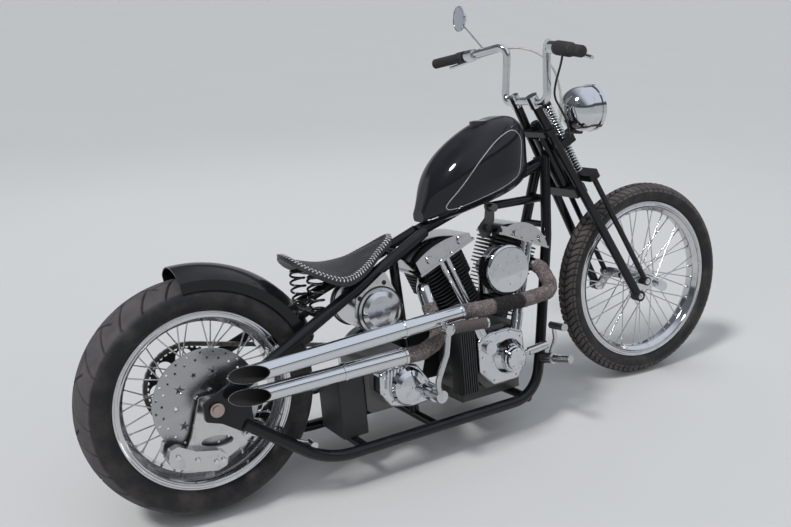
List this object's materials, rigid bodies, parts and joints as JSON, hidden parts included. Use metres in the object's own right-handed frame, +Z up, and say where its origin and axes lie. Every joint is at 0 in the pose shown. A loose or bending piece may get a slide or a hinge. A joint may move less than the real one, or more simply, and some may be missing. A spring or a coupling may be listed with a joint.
{
  "type": "rigid-frame chopper motorcycle with a springer fork",
  "caption": "Rigid-frame chopper motorcycle with a springer fork, air-cooled V-twin, laced wheels and solo seat, parked leaning on its side stand.",
  "frame": {"origin": "on the ground, under the middle of the whole parked machine's box", "axes": "+X forwards, +Y to the rider's left, +Z up; the machine leans to its left"},
  "size_m": [2.3123, 0.834, 1.2835],
  "materials": {
    "black_frame": "gloss black enamel",
    "tank_paint": "gloss black with silver line",
    "chrome": "bright chrome",
    "polished_aluminium": "polished",
    "black_fins": "satin black",
    "pipe_chrome": "chrome pipe, wrapped at the engine end",
    "spring_steel": "plated springs",
    "chain_steel": "oiled steel",
    "disc_steel": "ground stainless",
    "rim_chrome": "chrome rims, hubs and spokes",
    "tyre_rubber": "black rubber",
    "grip_rubber": "ribbed grip rubber",
    "seat_leather": "black leather with pale lacing"
  },
  "bodies": {
    "frame": {"frame_backbone": "black_frame", "frame_downtubes": "black_frame", "frame_lower_rails": "black_frame", "frame_stays": "black_frame", "frame_crossmembers": "black_frame", "rear_axle": "chrome", "fuel_tank": "tank_paint", "tank_cap": "chrome", "seat": "seat_leather", "seat_springs": "spring_steel", "rear_fender": "black_frame", "oil_tank": "chrome", "oil_tank_bracket": "polished_aluminium", "battery_box": "black_fins", "crankcase": "polished_aluminium", "cam_cover": "chrome", "ribbed_cover": "black_fins", "top_mount": "chrome", "cylinders": "black_fins", "rocker_boxes": "chrome", "pushrod_tubes": "chrome", "carburettor": "polished_aluminium", "air_cleaner": "chrome", "primary_cover": "chrome", "gearbox": "polished_aluminium", "kicker_cover": "chrome", "kick_arm": "chrome", "exhaust_front": "pipe_chrome", "exhaust_rear": "pipe_chrome", "drive_chain": "chain_steel", "rear_caliper": "polished_aluminium", "forward_controls": "polished_aluminium"},
    "rear_wheel": {"rear_tyre": "tyre_rubber", "rear_rim": "rim_chrome", "rear_spokes": "rim_chrome", "rear_hub": "rim_chrome", "brake_disc": "disc_steel", "rear_sprocket": "chain_steel"},
    "fork": {"fork_rear_legs": "black_frame", "spring_perch": "black_frame", "fork_spring_legs": "black_frame", "fork_springs": "spring_steel", "fork_rockers": "chrome", "handlebar": "chrome", "grips": "grip_rubber", "control_levers": "chrome", "control_cables": "polished_aluminium", "mirror": "chrome", "headlight": "chrome"},
    "front_wheel": {"front_tyre": "tyre_rubber", "front_rim": "rim_chrome", "front_spokes": "rim_chrome", "front_hub": "rim_chrome"},
    "stand": {"side_stand": "chrome"}
  },
  "joints": [
    {"name": "rear_wheel_spin", "type": "hinge", "parent": "frame", "child": "rear_wheel", "pos_m": [-0.82916, -0.14769, 0.32327], "axis": [-0.0001, 0.9836, -0.1805], "continuous": true},
    {"name": "steering", "type": "hinge", "parent": "frame", "child": "fork", "pos_m": [0.38603, -0.03613, 0.93074], "axis": [-0.4584, 0.1604, 0.8742], "range_deg": [-28.3, 35.7]},
    {"name": "front_wheel_spin", "type": "hinge", "parent": "fork", "child": "front_wheel", "pos_m": [0.81066, -0.15081, 0.34255], "axis": [0.0573, 0.9869, -0.151], "continuous": true},
    {"name": "side_stand_fold", "type": "hinge", "parent": "frame", "child": "stand", "pos_m": [0.07576, -0.01773, 0.05614], "axis": [0.0544, 0.3138, 0.9479], "range_deg": [0, 112]}
  ]
}
